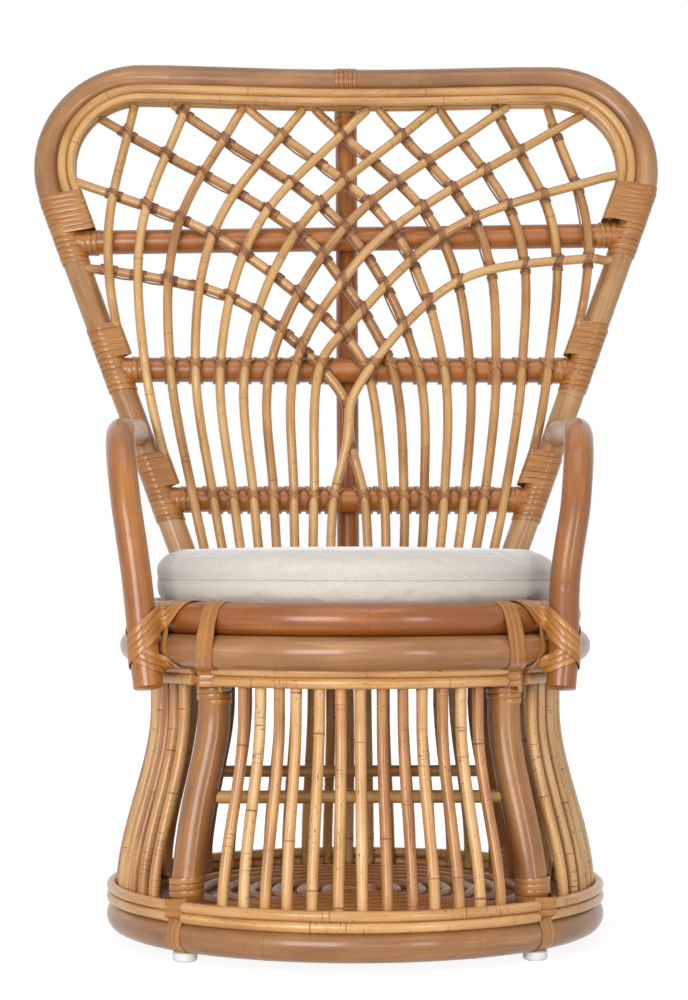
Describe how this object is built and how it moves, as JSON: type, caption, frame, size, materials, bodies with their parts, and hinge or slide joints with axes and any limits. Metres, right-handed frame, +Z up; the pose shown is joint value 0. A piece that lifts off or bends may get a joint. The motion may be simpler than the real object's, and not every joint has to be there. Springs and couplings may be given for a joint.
{
  "type": "rattan peacock chair",
  "caption": "Rattan armchair with a tall fan back of crossing bent rods, round seat with a loose cushion, bent arms, bound joints and a flared base of spindles.",
  "frame": {"origin": "on the floor under the middle of the chair's box", "axes": "+Z up, +Y to the rear; the sitter faces -Y, and right is +X as seen from the front"},
  "size_m": [0.8504, 0.722, 1.129],
  "materials": {
    "pole": "clear varnish on thick rattan poles",
    "rod": "clear varnish on thin rattan rods",
    "rail": "clear varnish on darker rattan poles",
    "peel": "satin rattan peel",
    "cloth": "plain off-white weave",
    "glide": "white moulded plastic"
  },
  "bodies": {
    "chair": {"base_ring": "pole", "foot_glide_rear_right": "glide", "foot_glide_rear_left": "glide", "foot_glide_front_left": "glide", "foot_glide_front_right": "glide", "leg_rear_right": "pole", "leg_rear_left": "pole", "leg_front_left": "pole", "leg_front_right": "pole", "stretcher_front": "rod", "stretcher_rear": "rod", "base_shelf": "rod", "skirt_rear": "rod", "skirt_left": "rod", "skirt_front": "rod", "skirt_right": "rod", "seat_ring_lower": "pole", "seat_ring_upper": "pole", "seat_deck": "rod", "back_frame_right": "pole", "back_frame_left": "pole", "arm_right": "pole", "arm_left": "pole", "back_rail_seat": "rail", "back_rail_lower": "rail", "back_rail_middle": "rail", "back_rail_upper": "rail", "back_centre_post": "rail", "back_hoop_outer": "rod", "back_hoop_inner": "rod", "back_hoop_rear": "rod", "lattice_right_1": "rod", "lattice_right_2": "rod", "lattice_right_3": "rod", "lattice_right_4": "rod", "lattice_right_5": "rod", "lattice_right_6": "rod", "lattice_right_7": "rod", "lattice_right_8": "rod", "lattice_right_9": "rod", "lattice_right_10": "rod", "lattice_left_1": "rod", "lattice_left_2": "rod", "lattice_left_3": "rod", "lattice_left_4": "rod", "lattice_left_5": "rod", "lattice_left_6": "rod", "lattice_left_7": "rod", "lattice_left_8": "rod", "lattice_left_9": "rod", "lattice_left_10": "rod", "binding_lower_right": "peel", "binding_lower_left": "peel", "binding_middle_right": "peel", "binding_middle_left": "peel", "binding_upper_right": "peel", "binding_upper_left": "peel", "binding_top": "peel"},
    "cushion": {"seat_cushion": "cloth"}
  },
  "joints": [
    {"name": "cushion_lift", "type": "slide", "parent": "chair", "child": "cushion", "axis": [0, 0, 1], "range_m": [0, 0.3]}
  ]
}
